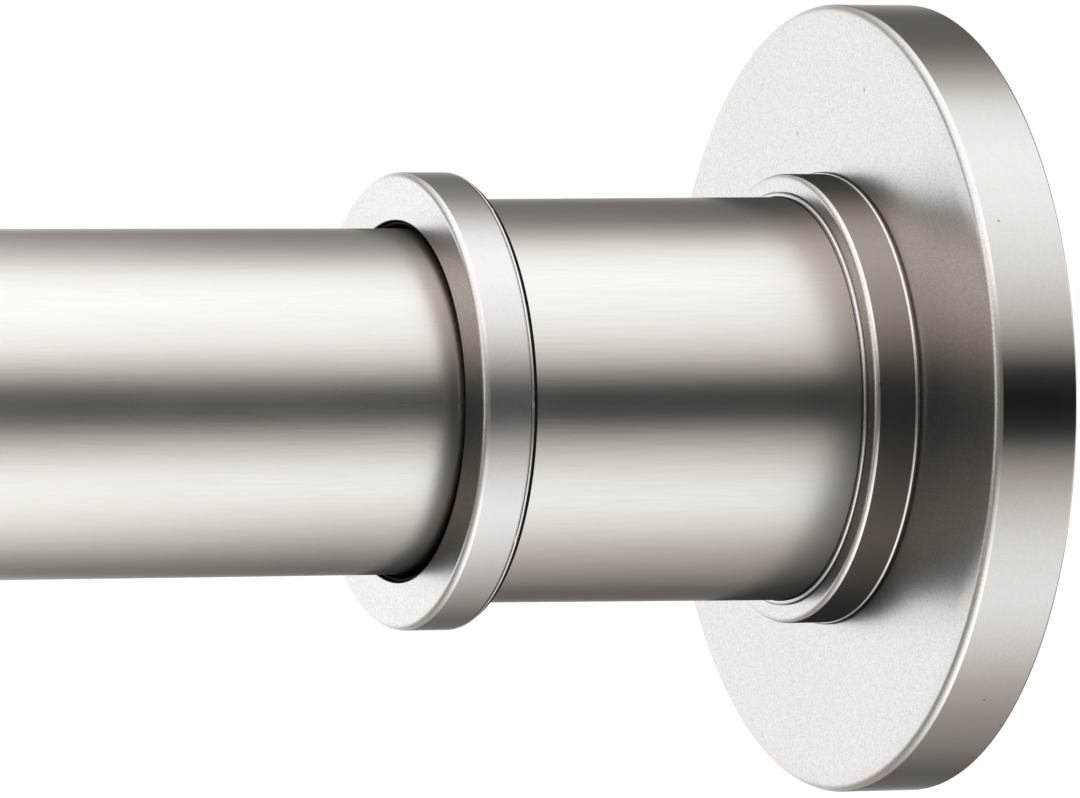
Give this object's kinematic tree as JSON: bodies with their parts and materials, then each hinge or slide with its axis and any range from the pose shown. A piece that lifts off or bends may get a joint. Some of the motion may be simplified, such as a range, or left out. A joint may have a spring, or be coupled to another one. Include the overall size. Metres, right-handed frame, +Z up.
{
  "type": "spring tension rod",
  "caption": "Telescoping satin-nickel spring tension rod with round stepped wall flanges, sprung sleeve end, twist lock and rubber wall pads.",
  "frame": {"origin": "centre of the rubber face that meets the right wall, on the rod's axis", "axes": "+X along the rod towards the right wall, +Z up"},
  "size_m": [0.6096, 0.0586, 0.0586],
  "materials": {
    "satin_nickel": "brushed satin nickel",
    "pearl_nickel": "fine-blasted satin nickel",
    "plain_steel": "bright zinc-plated steel",
    "spring_steel": "oiled spring wire",
    "grey_rubber": "matt rubber",
    "black_plastic": "moulded black nylon",
    "white_nylon": "moulded natural nylon"
  },
  "bodies": {
    "right_end": {"right_wall_pad": "grey_rubber", "right_flange": "pearl_nickel", "right_neck_ring": "pearl_nickel", "right_flange_core": "black_plastic", "right_core_bolt": "plain_steel", "right_bolt_washer": "plain_steel", "right_sleeve": "satin_nickel", "right_ring": "pearl_nickel", "right_ring_carrier": "black_plastic", "spindle": "plain_steel", "spring_seat_washer": "plain_steel", "tension_spring": "spring_steel", "stop_washer": "plain_steel", "stop_nut": "plain_steel"},
    "outer_tube_set": {"outer_tube": "satin_nickel", "tube_end_bush": "white_nylon", "spindle_guide": "white_nylon", "guide_pins": "plain_steel", "tube_mouth_bush": "black_plastic"},
    "collet": {"lock_collet": "white_nylon"},
    "cone": {"cone_nut": "white_nylon"},
    "inner_tube_set": {"inner_tube": "satin_nickel", "lock_plug": "white_nylon", "lock_plug_pins": "plain_steel", "lock_screw": "plain_steel", "lock_end_nut": "plain_steel", "left_plug_pins": "plain_steel", "left_tube_plug": "white_nylon", "left_ring_carrier": "black_plastic", "left_ring": "pearl_nickel", "left_sleeve": "satin_nickel", "left_neck_ring": "pearl_nickel", "left_flange": "pearl_nickel", "left_flange_core": "black_plastic", "left_core_bolt": "plain_steel", "left_bolt_washer": "plain_steel", "left_wall_pad": "grey_rubber"}
  },
  "joints": [
    {"name": "spring_travel", "type": "slide", "parent": "right_end", "child": "outer_tube_set", "axis": [1, 0, 0], "range_m": [0, 0.016], "stiffness_N_per_m": 3600, "springref_m": -0.008, "deforming": ["tension_spring"]},
    {"name": "tube_slide", "type": "slide", "parent": "outer_tube_set", "child": "collet", "axis": [-1, 0, 0], "range_m": [0, 0.3048]},
    {"name": "tube_twist", "type": "hinge", "parent": "collet", "child": "inner_tube_set", "pos_m": [-0.15, 0, 0], "axis": [1, 0, 0], "range_deg": [0, 360]},
    {"name": "cone_travel", "type": "slide", "parent": "collet", "child": "cone", "axis": [-1, 0, 0], "range_m": [0, 0.003]}
  ],
  "couplings": [
    {"joint": "cone_travel", "follows": "tube_twist", "m_per_rad": 0.000477}
  ]
}
